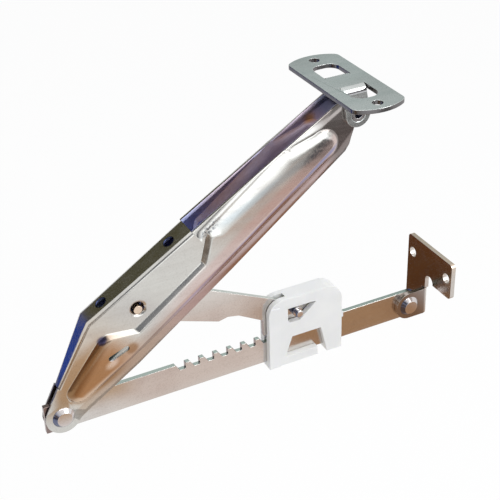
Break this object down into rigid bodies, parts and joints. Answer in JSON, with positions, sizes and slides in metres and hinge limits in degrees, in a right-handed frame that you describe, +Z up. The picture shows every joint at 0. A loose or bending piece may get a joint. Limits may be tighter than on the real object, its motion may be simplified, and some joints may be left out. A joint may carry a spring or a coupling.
{
  "type": "ratchet headrest hinge",
  "caption": "Folding headrest hinge: a pressed steel channel arm on a toothed rack, locked by a pawl in a sliding plastic carrier, with a screw-on bracket and a hinged top plate.",
  "frame": {"origin": "midway between the two bracket screw holes, on the bracket's mounting face", "axes": "+X leaves the mounting face, away from the fitting; the rack runs towards -X; +Z is up; the pivots lie along Y"},
  "size_m": [0.2085, 0.067, 0.1435],
  "materials": {
    "zinc_sheet": "bright zinc plate on pressed sheet",
    "zinc_strip": "bright zinc plate on punched strip",
    "zinc_rivet": "bright zinc plate on turned and headed pins",
    "white_nylon": "moulded white nylon, slightly translucent"
  },
  "bodies": {
    "bracket": {"mounting_bracket": "zinc_sheet", "bracket_rivet": "zinc_rivet"},
    "rack": {"toothed_rack": "zinc_strip"},
    "arm": {"arm_channel": "zinc_sheet", "arm_pivot_rivet": "zinc_rivet", "pawl_pivot_pin": "zinc_rivet", "hinge_rivet": "zinc_rivet"},
    "slider": {"slider": "white_nylon"},
    "pawl": {"pawl_bar": "zinc_strip", "guide_pin": "zinc_rivet"},
    "head_plate": {"hinge_plate": "zinc_sheet"}
  },
  "joints": [
    {"name": "rack_swing", "type": "hinge", "parent": "bracket", "child": "rack", "pos_m": [-0.012, 0.00565, -0.0232], "axis": [0, -1, 0], "range_deg": [-80, 80]},
    {"name": "arm_raise", "type": "hinge", "parent": "rack", "child": "arm", "pos_m": [-0.2, 0.00565, -0.0232], "axis": [0, -1, 0], "range_deg": [-6, 40]},
    {"name": "slider_travel", "type": "slide", "parent": "rack", "child": "slider", "axis": [1, 0, 0], "range_m": [-0.0472, 0.0074]},
    {"name": "pawl_turn", "type": "hinge", "parent": "slider", "child": "pawl", "pos_m": [-0.0786, 0.00565, -0.0038], "axis": [0, -1, 0], "range_deg": [-12, 2]},
    {"name": "plate_tilt", "type": "hinge", "parent": "arm", "child": "head_plate", "pos_m": [-0.04904, 0.00565, 0.09629], "axis": [0, -1, 0], "range_deg": [-70, 28]}
  ],
  "couplings": [
    {"joint": "slider_travel", "follows": "arm_raise", "m_per_rad": -0.0667},
    {"joint": "pawl_turn", "follows": "arm_raise", "ratio": -0.291}
  ]
}
